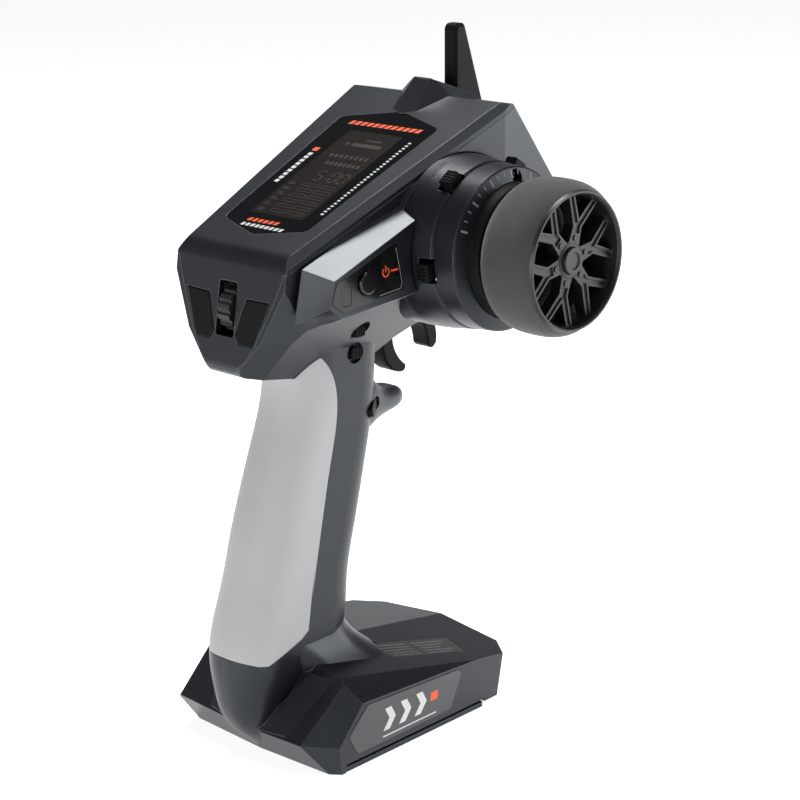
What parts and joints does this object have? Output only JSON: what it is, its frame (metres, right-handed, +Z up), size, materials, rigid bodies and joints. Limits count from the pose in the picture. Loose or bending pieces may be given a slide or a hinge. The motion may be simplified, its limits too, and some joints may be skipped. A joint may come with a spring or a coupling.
{
  "type": "pistol grip radio transmitter",
  "caption": "Pistol-grip radio transmitter with a foam steering wheel, finger trigger, sloping display, rubber grip pad, folding antenna and a free-standing battery base.",
  "frame": {"origin": "centre of the resting face under the base", "axes": "+Z up along the grip, +Y away from the user towards the antenna, +X to the user's right along the steering axis"},
  "size_m": [0.1441, 0.1542, 0.278],
  "materials": {
    "casing_plastic": "satin charcoal, finely textured",
    "cover_plastic": "satin near-black",
    "housing_plastic": "satin charcoal",
    "dark_plastic": "satin black",
    "grip_rubber": "soft light grey",
    "foam": "dark grey foam, open cells",
    "rim_plastic": "satin black",
    "gloss_black": "piano black",
    "display_glass": "gloss black window",
    "roller_rubber": "ribbed black",
    "badge_film": "mid grey panel",
    "label_film": "grey printed film, blank",
    "steel": "zinc plated",
    "circuit_board": "green board",
    "lcd": "dark display",
    "cell_jacket": "printed jacket, plain"
  },
  "bodies": {
    "frame": {"aa_cells": "cell_jacket", "antenna_cowl": "casing_plastic", "antenna_mount": "casing_plastic", "antenna_pin": "steel", "base_tray": "casing_plastic", "battery_contacts": "steel", "battery_holder": "dark_plastic", "bearing_sleeve": "dark_plastic", "casing_screws": "steel", "centring_spring": "steel", "control_ring": "housing_plastic", "display_lens": "display_glass", "grip_pad": "grip_rubber", "head_cover": "cover_plastic", "key_board": "circuit_board", "lcd_module": "lcd", "left_badge_panel": "badge_film", "left_shell": "casing_plastic", "main_board": "circuit_board", "power_panel": "gloss_black", "radio_module": "circuit_board", "right_badge_panel": "badge_film", "right_shell": "casing_plastic", "ring_screw": "rim_plastic", "speaker": "dark_plastic", "spec_label": "label_film", "status_window": "gloss_black", "steering_bearings": "steel", "steering_housing": "housing_plastic", "steering_sensor": "dark_plastic", "trigger_axle": "steel", "trigger_bracket": "dark_plastic", "trigger_sensor": "dark_plastic", "trigger_spring": "steel", "trim_pins": "rim_plastic", "wheel_collar": "dark_plastic"},
    "steering_wheel": {"steering_shaft": "steel", "wheel_rim": "rim_plastic", "foam_tyre": "foam", "wheel_cap": "rim_plastic", "wheel_nut": "steel", "wheel_bolts": "rim_plastic"},
    "trigger": {"trigger": "dark_plastic"},
    "antenna": {"antenna": "dark_plastic"},
    "roller_carriage": {"roller_carriage": "dark_plastic", "roller_axle": "steel"},
    "roller": {"roller": "roller_rubber"},
    "power_button": {"power_button": "gloss_black"},
    "clear_button": {"clear_button": "dark_plastic"},
    "back_button": {"back_button": "dark_plastic"},
    "button_e": {"button_e": "dark_plastic"},
    "button_f": {"button_f": "dark_plastic"},
    "button_g": {"button_g": "dark_plastic"},
    "trim_lever_front": {"trim_lever_front": "dark_plastic"},
    "trim_lever_top": {"trim_lever_top": "dark_plastic"},
    "trim_lever_rear": {"trim_lever_rear": "dark_plastic"},
    "battery_door": {"battery_door": "casing_plastic"}
  },
  "joints": [
    {"name": "steering", "type": "hinge", "parent": "frame", "child": "steering_wheel", "pos_m": [0, 0.0282, 0.2009], "axis": [1, 0, 0], "range_deg": [-38, 38], "stiffness_Nm_per_rad": 0.05},
    {"name": "trigger_pull", "type": "hinge", "parent": "frame", "child": "trigger", "pos_m": [0, 0.035, 0.179], "axis": [-1, 0, 0], "range_deg": [-12, 20], "stiffness_Nm_per_rad": 0.08},
    {"name": "antenna_fold", "type": "hinge", "parent": "frame", "child": "antenna", "pos_m": [0, 0.075, 0.2416], "axis": [-1, 0, 0], "range_deg": [0, 88]},
    {"name": "roller_press", "type": "slide", "parent": "frame", "child": "roller_carriage", "axis": [0, 0.9848, -0.1736], "range_m": [0, 0.0008], "stiffness_N_per_m": 600},
    {"name": "roller_spin", "type": "hinge", "parent": "roller_carriage", "child": "roller", "pos_m": [0, -0.0517, 0.1832], "axis": [1, 0, 0], "continuous": true},
    {"name": "power_press", "type": "slide", "parent": "frame", "child": "power_button", "axis": [-1, 0, 0], "range_m": [0, 0.0008], "stiffness_N_per_m": 500},
    {"name": "clear_press", "type": "slide", "parent": "frame", "child": "clear_button", "axis": [0, 0.9848, -0.1736], "range_m": [0, 0.0008], "stiffness_N_per_m": 500},
    {"name": "back_press", "type": "slide", "parent": "frame", "child": "back_button", "axis": [0, 0.9848, -0.1736], "range_m": [0, 0.0008], "stiffness_N_per_m": 500},
    {"name": "button_e_press", "type": "slide", "parent": "frame", "child": "button_e", "axis": [-1, 0, 0], "range_m": [0, 0.0008], "stiffness_N_per_m": 400},
    {"name": "button_f_press", "type": "slide", "parent": "frame", "child": "button_f", "axis": [-1, 0, 0], "range_m": [0, 0.0008], "stiffness_N_per_m": 400},
    {"name": "button_g_press", "type": "slide", "parent": "frame", "child": "button_g", "axis": [-0.843, -0.5282, -0.1016], "range_m": [0, 0.0006], "stiffness_N_per_m": 400},
    {"name": "trim_front", "type": "hinge", "parent": "frame", "child": "trim_lever_front", "pos_m": [0, 0.04182, 0.22187], "axis": [1, 0, 0], "range_deg": [-8, 8], "stiffness_Nm_per_rad": 0.02},
    {"name": "trim_top", "type": "hinge", "parent": "frame", "child": "trim_lever_top", "pos_m": [0, 0.01422, 0.22163], "axis": [1, 0, 0], "range_deg": [-8, 8], "stiffness_Nm_per_rad": 0.02},
    {"name": "trim_rear", "type": "hinge", "parent": "frame", "child": "trim_lever_rear", "pos_m": [0, 0.00344, 0.19742], "axis": [1, 0, 0], "range_deg": [-8, 8], "stiffness_Nm_per_rad": 0.02},
    {"name": "battery_door_slide", "type": "slide", "parent": "frame", "child": "battery_door", "axis": [0, 1, 0], "range_m": [0, 0.012]}
  ]
}
